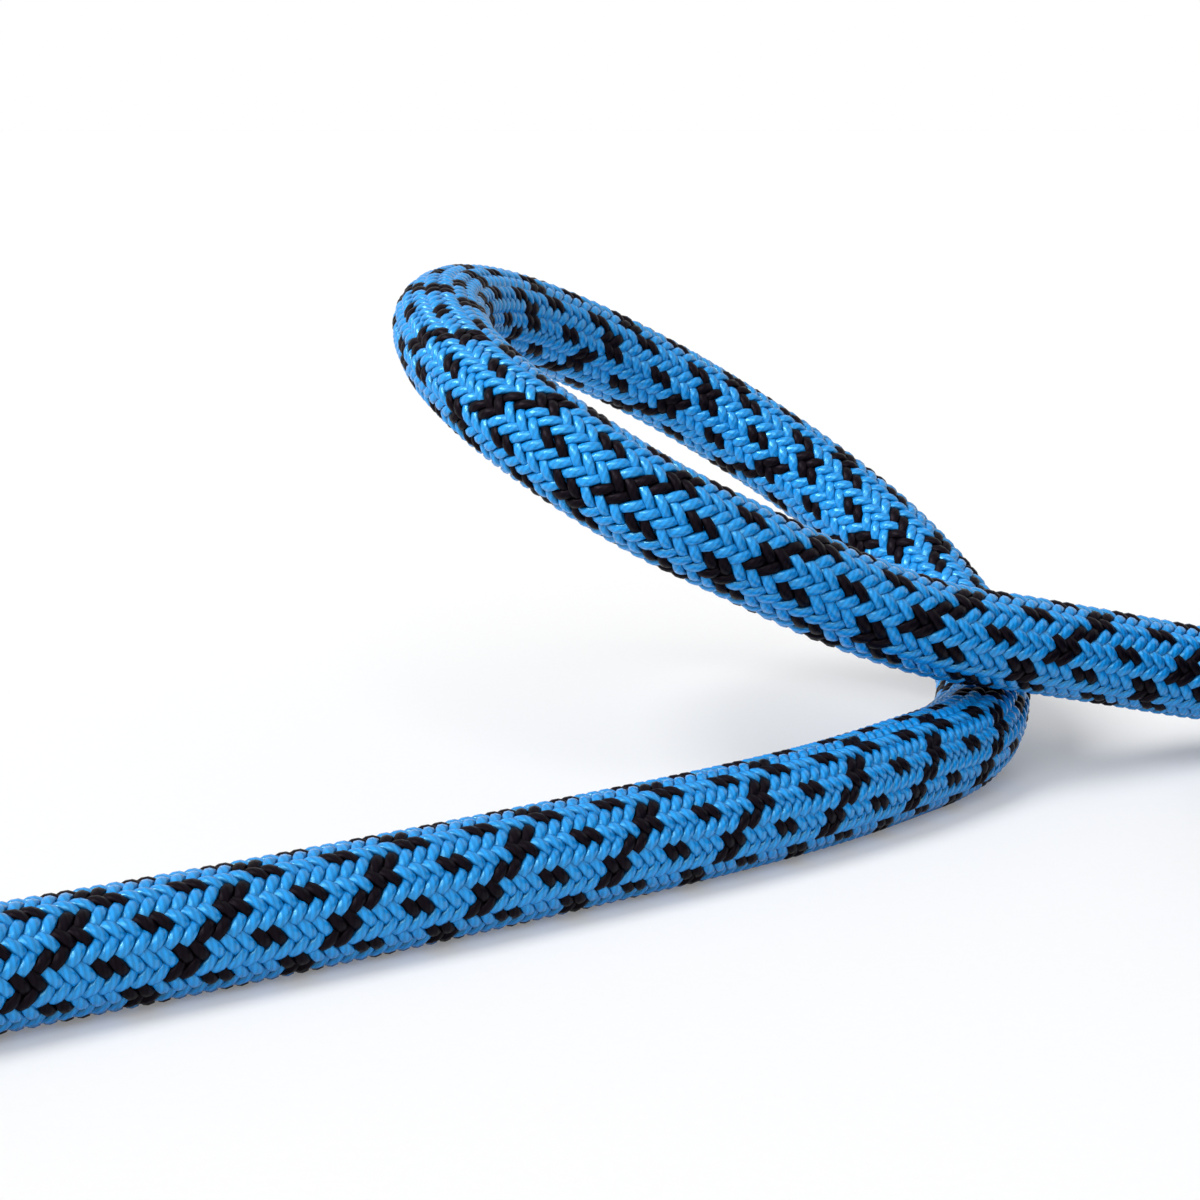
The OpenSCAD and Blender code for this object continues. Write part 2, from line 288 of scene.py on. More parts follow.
def rope_line():
    """The whole rope's line every 0.4 mm, with a frame that doesn't twist, and where its parts end."""
    route = ROUTE + route_shift()
    plan = coil_plan(route)
    free = through_points(route, 60)
    turns = np.linspace(0.0, plan.turns, int(plan.turns * 1440) + 1)
    wound = coil_points(plan, turns)
    tail = unit(wound[-1] - wound[-2]) * [1, 1, 0]
    raw = np.vstack([free, wound, wound[-1:] + unit(tail) * plan.tail_l])
    reach = np.concatenate([[0.0], np.cumsum(np.linalg.norm(np.diff(raw, axis=0), axis=1))])
    s = np.linspace(0.0, reach[-1], int(reach[-1] / (0.4 * MM)))
    p = np.stack([np.interp(s, reach, raw[:, k]) for k in range(3)], axis=-1)
    t = unit(np.gradient(p, axis=0))
    u = np.empty_like(p)
    side = UP
    for k, way in enumerate(t):
        side = side - side.dot(way) * way
        side = side / math.sqrt(side.dot(side))
        u[k] = side
    return SimpleNamespace(s=s, p=p, t=t, u=u, v=np.cross(t, u), plan=plan, free_l=length_of(free),
                           total_l=reach[-1], tail=unit(tail))


def on_line(line, s):
    """Points of the rope's line and its two side vectors at the lengths s."""
    found = []
    for values in (line.p, line.u, line.v):
        found.append(np.stack([np.interp(s, line.s, values[:, k]) for k in range(3)], axis=-1))
    return found


def stitches_at(s):
    """Stitches of the braid from the loose end to the lengths s, and the stitch's size there."""
    fine = np.linspace(0.0, BRAID[-1, 0], 12001)
    size = np.interp(fine, BRAID[:, 0], BRAID[:, 1])
    steps = np.diff(fine) * 0.5 * (1.0 / size[1:] + 1.0 / size[:-1])
    count = np.concatenate([[0.0], np.cumsum(steps)])
    return np.interp(s, fine, count), np.interp(s, fine, size)


def length_at(stitches):
    """Lengths along the rope at which the braid has had that many stitches."""
    fine = np.linspace(0.0, BRAID[-1, 0], 12001)
    return np.interp(stitches, stitches_at(fine)[0], fine)


def yarn_points(line, way, number, stitch):
    """Middle of the yarns after so many stitches, their outward vector, half width and rise."""
    rope = rope_sizes()
    s = length_at(stitch)
    angle = (way * math.tau * (stitch + rope.braid_shift) / rope.yarns
             + math.tau * (number + (0.5 if way > 0 else 0.0)) / rope.yarns)
    top = -way * np.cos(angle * rope.yarns / 2)
    p, u, v = on_line(line, s)
    turn = np.radians(np.interp(s, BRAID[:, 0], BRAID[:, 2]))
    angle = (angle + turn + rope.braid_turn)[..., None]
    out = np.cos(angle) * u + np.sin(angle) * v
    room = math.tau * rope.yarn_lift / rope.yarns
    size = stitches_at(s)[1]
    across = 0.5 * rope.yarn_fill * room * size / np.hypot(room, size)
    return p + (rope.yarn_lift + rope.yarn_wave * top)[..., None] * out, out, across, top


def first_dive(way, number):
    """Stitches to the first place where each yarn passes below others."""
    shift = rope_sizes().braid_shift
    return np.mod(-shift - number - 0.5 if way > 0 else -shift + number - 1.0, 2.0)


def float_count(line):
    """How many times each yarn comes to the top on the photographed stretch."""
    return int(stitches_at(line.free_l)[0] / 2) - 1


def line_steps(line):
    """Lengths of the rings of the two linings."""
    free = np.linspace(0.0, line.free_l, int(line.free_l / (1.5 * MM)))
    wound = np.linspace(line.free_l, line.total_l, int((line.total_l - line.free_l) / (2.5 * MM)))
    return free, wound


def core_steps(line):
    """Lengths of the rings of the core strands and of the tape."""
    return np.linspace(0.0, line.free_l, int(line.free_l / (3.0 * MM)))


class Value:
    """A shader value: arithmetic on it adds Math nodes to its finish."""

    def __init__(self, finish, socket):
        self.finish = finish
        self.socket = socket

    def __add__(self, other):
        return self.finish.math("ADD", self, other)

    def __radd__(self, other):
        return self.finish.math("ADD", other, self)

    def __sub__(self, other):
        return self.finish.math("SUBTRACT", self, other)

    def __rsub__(self, other):
        return self.finish.math("SUBTRACT", other, self)

    def __mul__(self, other):
        return self.finish.math("MULTIPLY", self, other)

    def __rmul__(self, other):
        return self.finish.math("MULTIPLY", other, self)


class Finish:
    """A material, or the sky, under construction."""

    def __init__(self, name, tree=None):
        if tree is None:
            self.material = bpy.data.materials.new(name)
            self.material.use_nodes = True
            tree = self.material.node_tree
        self.tree = tree
        self.tree.nodes.clear()

    def node(self, kind, settings=None, inputs=None, output=0):
        """A node of any kind: its settings first, then the values or links of its sockets."""
        made = self.tree.nodes.new(kind)
        for key, value in (settings or {}).items():
            setattr(made, key, value)
        for key, value in (inputs or {}).items():
            if isinstance(value, Value):
                self.tree.links.new(value.socket, made.inputs[key])
            else:
                made.inputs[key].default_value = value
        return Value(self, made.outputs[output]) if made.outputs else None

    def math(self, operation, first, second=0.0):
        return self.node("ShaderNodeMath", {"operation": operation}, {0: first, 1: second})

    def sine(self, value):
        return self.math("SINE", value)

    def band(self, value, low, high):
        """0 below low, 1 above high, and smooth between."""
        return self.node("ShaderNodeMapRange", {"interpolation_type": "SMOOTHSTEP"},
                         {0: value, 1: low, 2: high, 3: 0.0, 4: 1.0})

    def place(self):
        """Place on the piece, in metres."""
        return self.node("ShaderNodeTexCoord", None, None, "Object")

    def flow(self, name):
        """The two values of one of the piece's own maps."""
        place = self.node("ShaderNodeUVMap", {"uv_map": name})
        return (self.node("ShaderNodeSeparateXYZ", None, {0: place}, 0),
                self.node("ShaderNodeSeparateXYZ", None, {0: place}, 1))

    def vector(self, x, y, z=0.0):
        return self.node("ShaderNodeCombineXYZ", None, {0: x, 1: y, 2: z})

    def noise(self, place, scale, detail=2.0, rough=0.5):
        return self.node("ShaderNodeTexNoise", None,
                         {"Vector": place, "Scale": scale, "Detail": detail, "Roughness": rough})

    def mix(self, factor, first, second):
        return self.node("ShaderNodeMix", {"data_type": "RGBA"}, {0: factor, 6: first, 7: second}, 2)

    def bump(self, height, strength, distance):
        return self.node("ShaderNodeBump", None,
                         {"Height": height, "Strength": strength, "Distance": distance})

    def shown(self):
        """1 for what the camera sees, also in a mirror or through glass, and 0 for light on the object."""
        seen = self.node("ShaderNodeLightPath", None, None, "Is Camera Ray")
        mirrored = self.node("ShaderNodeLightPath", None, None, "Is Glossy Ray")
        passed = self.node("ShaderNodeLightPath", None, None, "Is Transmission Ray")
        return self.math("MINIMUM", seen + mirrored + passed, 1.0)

    def surface(self, inputs):
        shader = self.node("ShaderNodeBsdfPrincipled", None, inputs)
        self.node("ShaderNodeOutputMaterial", None, {"Surface": shader})
        return self.material


def paint(colour, gain=1.0):
    return tuple(min(1.0, c * gain) for c in colour) + (1.0,)


def yarn_finish(name, colour, dark, light, rough, shine, tint):
    """Silky yarn of five plies: its fibres lean with the twist, and its sides are painted darker as shade.
    """
    finish = Finish(name)
    along, around = finish.flow("Yarn")
    twist = around * 5.0 - along * 1.25
    ridges = finish.sine(twist * math.tau) * 0.5 + 0.5
    fibres = finish.noise(finish.vector(along * 0.5 + around * 2.0, twist * 4.0), 1.0, 2.0, 0.6)
    tufts = finish.noise(finish.vector(along * 0.30, around * 5.0, 4.0), 1.0, 1.0)
    # Painted shade: the base colour darkens towards the yarn's sides, where it meets its neighbours.
    painted_flank_shade = finish.band(finish.math("ABSOLUTE", around - 0.5), 0.10, 0.26)
    tone = finish.band(fibres * 0.5 + tufts * 0.25 + ridges * 0.25, 0.28, 0.72)
    shade = finish.mix(tone, paint(colour, dark), paint(colour, light))
    return finish.surface({
        "Base Color": finish.mix(painted_flank_shade, shade, paint(colour, 0.28)),
        "Roughness": rough + (0.5 - fibres) * 0.2,
        "Normal": finish.bump(ridges * 0.75 + fibres * 0.25, 0.4, 0.06 * MM),
        "Specular IOR Level": shine,
        "Specular Tint": paint(tint),
    })


def lining_finish(name, colour):
    """The sheath's underside, painted dark as the shade between the yarns, with a dull weave."""
    finish = Finish(name)
    along, around = finish.flow("Yarn")
    weave = finish.sine(along * 3.3 + around * 126.0) * finish.sine(along * 3.3 - around * 126.0)
    grain = finish.noise(finish.vector(along, around * 27.0), 1.7, 2.0)
    shade = finish.mix(finish.band(weave * 0.3 + grain, 0.2, 0.8), paint(colour, 0.6), paint(colour, 1.3))
    return finish.surface({
        "Base Color": shade,
        "Roughness": 0.75 + 0.15 * grain,
        "Normal": finish.bump(weave * 0.5 + grain, 0.5, 0.1 * MM),
    })


def core_finish(name, colour):
    """Undyed twisted yarn."""
    finish = Finish(name)
    along, around = finish.flow("Yarn")
    fibres = finish.noise(finish.vector(along * 0.5, (around * 5.9 + along * 0.45) * 4.0), 1.0, 2.0)
    shade = finish.mix(finish.band(fibres, 0.3, 0.7), paint(colour, 0.78), paint(colour, 1.06))
    return finish.surface({
        "Base Color": shade,
        "Roughness": 0.5 + 0.2 * fibres,
        "Normal": finish.bump(fibres, 0.5, 0.08 * MM),
    })


def film_finish(name, colour):
    """Thin smooth film with drawn lines along it."""
    finish = Finish(name)
    along, around = finish.flow("Yarn")
    drawn = finish.noise(finish.vector(along * 0.08, around * 30.0), 1.0, 2.0)
    shade = finish.mix(drawn, paint(colour, 0.85), paint(colour, 1.12))
    return finish.surface({
        "Base Color": shade,
        "Roughness": 0.22 + 0.2 * drawn,
        "Normal": finish.bump(drawn, 0.3, 0.02 * MM),
    })


def sleeve_finish(name, colour):
    """Satin shrink tube, scuffed a little on its crowns."""
    finish = Finish(name)
    place = finish.place()
    orange_peel = finish.noise(place, 2600.0, 2.0)
    scuff = finish.band(finish.noise(place, 420.0, 4.0, 0.7), 0.52, 0.75)
    return finish.surface({
        "Base Color": finish.mix(scuff * 0.55, paint(colour), paint(colour, 2.6)),
        "Roughness": 0.38 + 0.22 * scuff,
        "Normal": finish.bump(orange_peel * 0.5 + scuff * 0.2, 0.25, 0.05 * MM),
        "Specular IOR Level": 0.45,
    })


def seal_finish(name, blue, black):
    """Yarn ends melted into one plug: blue and black run into each other."""
    finish = Finish(name)
    place = finish.place()
    swirl = finish.noise(place, 520.0, 3.0, 0.6)
    pits = finish.noise(place, 1900.0, 2.0)
    return finish.surface({
        "Base Color": finish.mix(finish.band(swirl, 0.38, 0.62), paint(black, 2.0), paint(blue, 0.5)),
        "Roughness": 0.2 + 0.25 * pits,
        "Normal": finish.bump(swirl * 0.7 + pits * 0.3, 0.6, 0.25 * MM),
        "Coat Weight": 0.3 * swirl,
    })


def strap_finish(name, colour):
    """Woven tape: a herringbone across the width, rubbed paler on its ridges."""
    finish = Finish(name)
    along, across = finish.flow("Tape")
    side = finish.math("PINGPONG", across, 1.0)
    rows = finish.sine((along + side * 0.8) * (math.tau / 0.8)) * 0.5 + 0.5
    threads = finish.sine(across * (math.tau / 0.36)) * 0.5 + 0.5
    fuzz = finish.noise(finish.vector(along, across), 6.0, 3.0, 0.65)
    weave = rows * 0.55 + threads * 0.2 + fuzz * 0.25
    edge = finish.band(finish.math("ABSOLUTE", across), 5.0, 5.7)
    shade = finish.mix(finish.band(weave, 0.25, 0.85), paint(colour, 0.4), paint(colour, 2.6))
    shade = finish.mix(edge * 0.35, shade, paint(colour, 3.0))
    return finish.surface({
        "Base Color": shade,
        "Roughness": 0.72 + 0.2 * fuzz,
        "Normal": finish.bump(weave, 0.7, 0.16 * MM),
        "Specular IOR Level": 0.3,
        "Sheen Weight": 0.15,
    })


def thread_finish(name, colour):
    """Twisted sewing thread."""
    finish = Finish(name)
    ply = finish.noise(finish.place(), 5200.0, 2.0)
    return finish.surface({
        "Base Color": finish.mix(ply, paint(colour, 0.6), paint(colour, 1.3)),
        "Roughness": 0.5 + 0.2 * ply,
        "Normal": finish.bump(ply, 0.5, 0.05 * MM),
    })


def floor_finish(colour, glow):
    """White paper with a faint tooth, which the camera sees lit from behind in part."""
    finish = Finish("white_paper")
    tooth = finish.noise(finish.place(), 900.0, 3.0)
    paper = finish.node("ShaderNodeBsdfPrincipled", None, {
        "Base Color": finish.mix(tooth, paint(colour, 0.985), paint(colour, 1.015)),
        "Roughness": 0.6 + 0.1 * tooth,
        "Specular IOR Level": 0.25,
    })
    light = finish.node("ShaderNodeEmission", None, {"Color": WHITE, "Strength": 1.0})
    mixed = finish.node("ShaderNodeMixShader", None, {0: finish.shown() * glow, 1: paper, 2: light})
    finish.node("ShaderNodeOutputMaterial", None, {"Surface": mixed})
    return finish.material


def finish_named(name, make, *values):
    """The finish of that name, made where it isn't there yet."""
    found = bpy.data.materials.get(name)
    return found or make(name, *values)


def blue_yarn():
    colour = bpy.context.scene.rope_colours.blue
    return finish_named("blue_yarn", yarn_finish, colour, 0.76, 1.2, 0.25, 1.0, (0.4, 0.9, 0.9))


def black_yarn():
    colour = bpy.context.scene.rope_colours.black
    return finish_named("black_yarn", yarn_finish, colour, 0.6, 1.8, 0.38, 0.07, (1.0, 0.8, 1.0))


def yarn_groups():
    """Name, way, numbers and finish of the six groups of like yarns."""
    count = rope_sizes().yarns
    left = [k for k in range(count) if k not in LEFT_BLACK]
    right = [k for k in range(count) if k not in RIGHT_BLACK]
    return (
        ("left_blue_a", -1, left[:8], blue_yarn()),
        ("left_blue_b", -1, left[8:], blue_yarn()),
        ("left_black", -1, LEFT_BLACK, black_yarn()),
        ("right_blue_a", 1, right[:6], blue_yarn()),
        ("right_blue_b", 1, right[6:], blue_yarn()),
        ("right_black", 1, RIGHT_BLACK, black_yarn()),
    )


def mesh_piece(name, points, faces, finish, maps=None):
    """A smooth mesh piece from arrays: faces all have the same number of corners."""
    corners = faces.shape[1]
    mesh = bpy.data.meshes.new(name)
    mesh.vertices.add(len(points))
    mesh.vertices.foreach_set("co", np.ascontiguousarray(points, dtype=np.float32).ravel())
    mesh.loops.add(faces.size)
    mesh.loops.foreach_set("vertex_index", faces.astype(np.int32).ravel())
    mesh.polygons.add(len(faces))
    mesh.polygons.foreach_set("loop_start", np.arange(0, faces.size, corners, dtype=np.int32))
    mesh.update(calc_edges=True)
    for map_name, places in (maps or {}).items():
        layer = mesh.uv_layers.new(name=map_name)
        layer.data.foreach_set("uv", np.ascontiguousarray(places, dtype=np.float32).ravel())
    mesh.shade_smooth()
    mesh.materials.append(finish)
    piece = bpy.data.objects.new(name, mesh)
    bpy.context.scene.collection.objects.link(piece)
    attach(piece, "root")
    return piece


def tube_faces(tubes, rings, sides):
    """Quads of closed tubes, and for each corner of one tube its ring and side."""
    ring, side = np.meshgrid(np.arange(rings - 1), np.arange(sides), indexing="ij")
    corner_ring = np.stack([ring, ring, ring + 1, ring + 1], axis=-1).reshape(-1, 4)
    corner_side = np.stack([side, side + 1, side + 1, side], axis=-1).reshape(-1, 4)
    lids = np.array([(k - 1, k, sides - 1 - k, sides - k) for k in range(1, sides // 2)])
    first = np.zeros_like(lids)
    corner_ring = np.vstack([corner_ring, first, first + rings - 1])
    corner_side = np.vstack([corner_side, lids[:, ::-1], lids])
    one = corner_ring * sides + corner_side % sides
    faces = (one[None] + (np.arange(tubes) * rings * sides)[:, None, None]).reshape(-1, 4)
    return faces, corner_ring, corner_side, len(lids)


def swept_rings(points, out, across, height, sides, fullness):
    """Rings round the lines in points: across and height are half sizes, fullness 1 is an ellipse."""
    along = unit(np.gradient(points, axis=-2))
    up = unit(out - (out * along).sum(-1, keepdims=True) * along)
    beside = np.cross(along, up)
    angle = -math.pi / 2 + math.tau * np.arange(sides) / sides
    x = np.sign(np.cos(angle)) * np.abs(np.cos(angle)) ** fullness
    y = np.sign(np.sin(angle)) * np.abs(np.sin(angle)) ** fullness
    return (points[..., None, :] + (across[..., None] * x)[..., None] * beside[..., None, :]
            + (height[..., None] * y)[..., None] * up[..., None, :])


def above_floor(rings):
    """The rings, pressed flat where they would go below the floor."""
    rings[..., 2] = np.maximum(rings[..., 2], 0.0)
    return rings


def strip_map(tubes, rings, corner_ring, corner_side, lid_count, sides, rows):
    """A map that lays every tube out in rows of its own, with nothing on top of anything else."""
    per_row = -(-(rings - 1) // rows)
    body = len(corner_ring) - 2 * lid_count
    span = corner_ring[:body].min(axis=1, keepdims=True)
    row = span // per_row
    x = (corner_ring[:body] - row * per_row + 1.0) / (per_row + 2)
    y = row + 0.08 + 0.84 * corner_side[:body] / sides
    lid_x = np.tile([0.1, 0.9, 0.9, 0.1], (2 * lid_count, 1))
    lid_x[lid_count:] += per_row + 1
    lid_y = 0.1 + 0.8 * (np.tile(np.arange(lid_count), 2)[:, None] + [0.1, 0.1, 0.9, 0.9]) / lid_count
    lid_y[lid_count:] += rows - 1
    x = np.vstack([x, lid_x / (per_row + 2)])
    y = np.vstack([y, lid_y])
    y = (y[None] + rows * np.arange(tubes)[:, None, None]) / (rows * tubes)
    return np.stack([np.broadcast_to(x[None], y.shape), y], axis=-1).reshape(-1, 2)


def yarn_piece(line, name, way, numbers, finish):
    """Yarns of the photographed stretch: closed tubes that run over two and under two."""
    rope = rope_sizes()
    sides = 8
    map_rows = 5
    share = np.array([0.0, 0.15, 0.24, 0.33, 0.44, 0.56, 0.67, 0.76, 0.85])
    number = np.array(numbers, float)[:, None]
    floats = float_count(line)
    steps = np.append((np.arange(floats)[:, None] + share).ravel(), floats)
    stitch = first_dive(way, number) + 2.0 * steps
    points, out, across, top = yarn_points(line, way, number, stitch)
    across = across * (0.92 + 0.08 * top)
    height = rope.yarn_h * (1.0 + YARN_SWELL * top)
    rings = above_floor(swept_rings(points, out, across, height, sides, 0.95))
    faces, corner_ring, corner_side, lids = tube_faces(len(numbers), stitch.shape[1], sides)
    run = np.linalg.norm(np.diff(points, axis=1), axis=-1)
    run = np.concatenate([np.zeros((len(numbers), 1)), np.cumsum(run, axis=1)], axis=1)
    along = run[:, corner_ring] / MM + YARN_OFFSET * number[..., None]
    around = np.broadcast_to(corner_side / sides if way < 0 else 1 - corner_side / sides, along.shape)
    yarn_map = np.stack([along, around], axis=-1).reshape(-1, 2)
    bake_map = strip_map(len(numbers), stitch.shape[1], corner_ring, corner_side, lids, sides, map_rows)
    return mesh_piece(name, rings.reshape(-1, 3), faces, finish,
                      {"Yarn": yarn_map, "OFBake": bake_map})


def float_faces():
    """Triangles of one float, a tip, two rings of four and a tip, and their places on a map of it."""
    faces = []
    places = []
    for k in range(4):
        j = (k + 1) % 4
        low, mid, high = k / 4, (k + 0.5) / 4, (k + 1) / 4
        faces += [(0, 1 + j, 1 + k), (1 + k, 1 + j, 5 + j), (1 + k, 5 + j, 5 + k), (5 + k, 5 + j, 9)]
        places += [[(0, mid), (0.3, high), (0.3, low)], [(0.3, low), (0.3, high), (0.7, high)],
                   [(0.3, low), (0.7, high), (0.7, low)], [(0.7, low), (0.7, high), (1, mid)]]
    return np.array(faces), np.array(places)


def float_piece(line, name, way, numbers, finish):
    """Yarns of the coil: one low-sided float for each place where a yarn is on top."""
    rope = rope_sizes()
    number = np.array(numbers, float)[:, None, None]
    begin = first_dive(way, number) + 2.0 * float_count(line)
    under_sleeve = 8 * MM
    last = stitches_at(line.total_l - under_sleeve)[0]
    count = int((last - begin.max()) / 2.0)
    share = np.array([-0.9, -0.3, 0.3, 0.9])
    stitch = begin + 2.0 * np.arange(count)[None, :, None] + 1.0 + share
    points, out, across, top = yarn_points(line, way, number, stitch)
    along = unit(points[..., 2:3, :] - points[..., 1:2, :])
    beside = np.cross(along, out)
    x = np.array([-1.0, -0.7, 0.7, 1.0])[:, None]
    y = np.array([-1.0, 0.95, 0.95, -1.0])[:, None]
    wide = across[..., 1:3, None, None]
    crown = (rope.yarn_wave * (1.0 - top[..., 1:3]))[..., None, None]
    rings = (points[..., 1:3, None, :] + wide * x * beside[..., 1:3, None, :]
             + (crown + (1.0 + YARN_SWELL) * rope.yarn_h * y) * out[..., 1:3, None, :])
    verts = np.concatenate([points[..., 0:1, :], rings.reshape(*rings.shape[:2], 8, 3),
                            points[..., 3:4, :]], axis=-2)
    floats = verts.shape[0] * verts.shape[1]
    faces, places = float_faces()
    every = (faces[None] + verts.shape[2] * np.arange(floats)[:, None, None]).reshape(-1, 3)
    stitch_run = 2.1
    float_run = 2.8
    first_side = 0.125
    start = (stitch_run * stitch[..., 0] + YARN_OFFSET * number[..., 0]).reshape(-1, 1, 1)
    around = (places[..., 1] if way < 0 else 1 - places[..., 1]) + first_side
    yarn_map = np.stack([start + float_run * places[None, ..., 0],
                         np.broadcast_to(around[None], (floats, len(faces), 3))], axis=-1)
    columns = int(math.ceil(math.sqrt(floats)))
    column = (np.arange(floats) % columns)[:, None, None]
    row = (np.arange(floats) // columns)[:, None, None]
    bake_map = np.stack([(column + 0.04 + 0.92 * places[None, ..., 0]) / columns,
                         (row + 0.04 + 0.92 * places[None, ..., 1]) / columns], axis=-1)
    return mesh_piece(name, verts.reshape(-1, 3), every, finish,
                      {"Yarn": yarn_map.reshape(-1, 2), "OFBake": bake_map.reshape(-1, 2)})


def lone_tube(name, s, rings, finish):
    """One closed tube from its rings at the lengths s, with maps along and round it."""
    sides = rings.shape[1]
    map_rows = 12
    faces, corner_ring, corner_side, lids = tube_faces(1, len(s), sides)
    yarn_map = np.stack([s[corner_ring] / MM, corner_side / sides], axis=-1).reshape(-1, 2)
    bake_map = strip_map(1, len(s), corner_ring, corner_side, lids, sides, map_rows)
    return mesh_piece(name, rings.reshape(-1, 3), faces, finish,
                      {"Yarn": yarn_map, "OFBake": bake_map})


def plain_tube(line, name, s, height, sides, finish, across=None, place=(0.0, 0.0), fullness=1.0):
    """A tube along the rope's line, off it by place, a radius and an angle."""
    p, u, v = on_line(line, s)
    out = math.cos(place[1]) * u + math.sin(place[1]) * v
    size = np.full(len(s), height)
    wide = size if across is None else np.full(len(s), across)
    rings = swept_rings(p + place[0] * out, out, wide, size, sides, fullness)
    return lone_tube(name, s, above_floor(rings), finish)


def twisted_strand(line, name, s, place, finish):
    """One core strand: three plies twisted together."""
    rope = rope_sizes()
    sides = 12
    plies = 3
    p, u, v = on_line(line, s)
    middle = p + place[0] * (math.cos(place[1]) * u + math.sin(place[1]) * v)
    angle = math.tau * np.arange(sides)[None, :] / sides
    groove = 0.5 - 0.5 * np.cos(plies * (angle - math.tau * s[:, None] / rope.strand_twist))
    radius = (rope.strand_r * (1.0 - 0.2 * groove))[..., None]
    rings = middle[:, None] + radius * (np.cos(angle)[..., None] * u[:, None]
                                        + np.sin(angle)[..., None] * v[:, None])
    return lone_tube(name, s, rings, finish)


def deselect():
    if bpy.context.mode != "OBJECT":
        bpy.ops.object.mode_set(mode="OBJECT")
    bpy.ops.object.select_all(action="DESELECT")


def clear_mesh_selection(kind):
    """Deselect all of the active piece's mesh, for a selection of that kind in code."""
    bpy.ops.object.mode_set(mode="EDIT")
    bpy.ops.mesh.select_mode(type=kind)
    bpy.ops.mesh.select_all(action="DESELECT")
    bpy.ops.object.mode_set(mode="OBJECT")


def add_wall(piece, thickness, offset):
    """Give a sheet its thickness: offset -1 is all of it inwards, and 0 is half on each side."""
    wall = piece.modifiers.new("wall", "SOLIDIFY")
    wall.thickness = thickness
    wall.offset = offset


def soften_edges(piece, width):
    """Round a piece's sharp edges a little."""
    edge = piece.modifiers.new("edge", "BEVEL")
    edge.width = width
    edge.segments = 2
    edge.limit_method = "ANGLE"


def apply_all(piece):
    """Apply a piece's modifiers in order."""
    bpy.context.view_layer.objects.active = piece
    for modifier in list(piece.modifiers):
        bpy.ops.object.modifier_apply(modifier=modifier.name)


def settle(piece, name, finish, node):
    """Put a modelled piece's place into its mesh, name it and hide the part that it stands for."""
    deselect()
    piece.select_set(True)
    bpy.context.view_layer.objects.active = piece
    bpy.ops.object.transform_apply(location=True, rotation=True, scale=True)
    bpy.ops.object.shade_smooth_by_angle(angle=math.radians(40))
    piece.name = name
    if finish is not None:
        piece.data.materials.clear()
        piece.data.materials.append(finish)
    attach(piece, "root")
    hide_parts(node)
    return piece


def rope_ends(line):
    """Name, node, cut and outward direction of the rope's two ends."""
    return (
        ("loose", "loose_end", line.p[0], -line.t[0]),
        ("coil_end", "coil_end", line.p[-1], line.tail),
    )


def put_on_end(piece, cut, outward, beyond):
    """Turn a piece's own z axis outwards, with its middle so far beyond the cut."""
    turn = Vector(outward).to_track_quat("Z", "Y").to_matrix().to_4x4()
    piece.matrix_world = Matrix.Translation(Vector(cut + outward * beyond)) @ turn


def seal_piece(name, node, cut, outward):
    """Melted plug of one end: an uneven dome inside a low rim."""
    rope_r = rope_sizes().rope_d / 2
    seal_l = bpy.context.scene.end_sizes.seal_l
    colours = bpy.context.scene.rope_colours
    deselect()
    bpy.ops.mesh.primitive_cylinder_add(vertices=64, radius=rope_r, depth=seal_l)
    seal = bpy.context.object
    clear_mesh_selection("FACE")
    for face in seal.data.polygons:
        face.select = face.normal.z > 0.9
    bpy.ops.object.mode_set(mode="EDIT")
    for inset, rise in ((0.5, -0.25), (0.7, 0.12), (1.0, 0.1), (1.2, 0.04), (1.0, -0.03)):
        bpy.ops.mesh.inset(thickness=inset * MM, depth=rise * MM)
    bpy.ops.mesh.poke()
    bpy.ops.object.mode_set(mode="OBJECT")
    for vert in seal.data.vertices:
        if vert.co.z > 0:
            bearing = math.atan2(vert.co.y, vert.co.x)
            reach = math.hypot(vert.co.x, vert.co.y) / rope_r
            vert.co.z += 0.12 * MM * reach * (math.sin(3 * bearing + 0.7) + 0.6 * math.sin(7 * bearing))
    soften_edges(seal, 0.2 * MM)
    round_off = seal.modifiers.new("round", "SUBSURF")
    round_off.levels = 1
    round_off.render_levels = 1
    apply_all(seal)
    put_on_end(seal, cut, outward, seal_l / 2)
    settle(seal, name, finish_named("melted_yarn", seal_finish, colours.blue, colours.black), node)


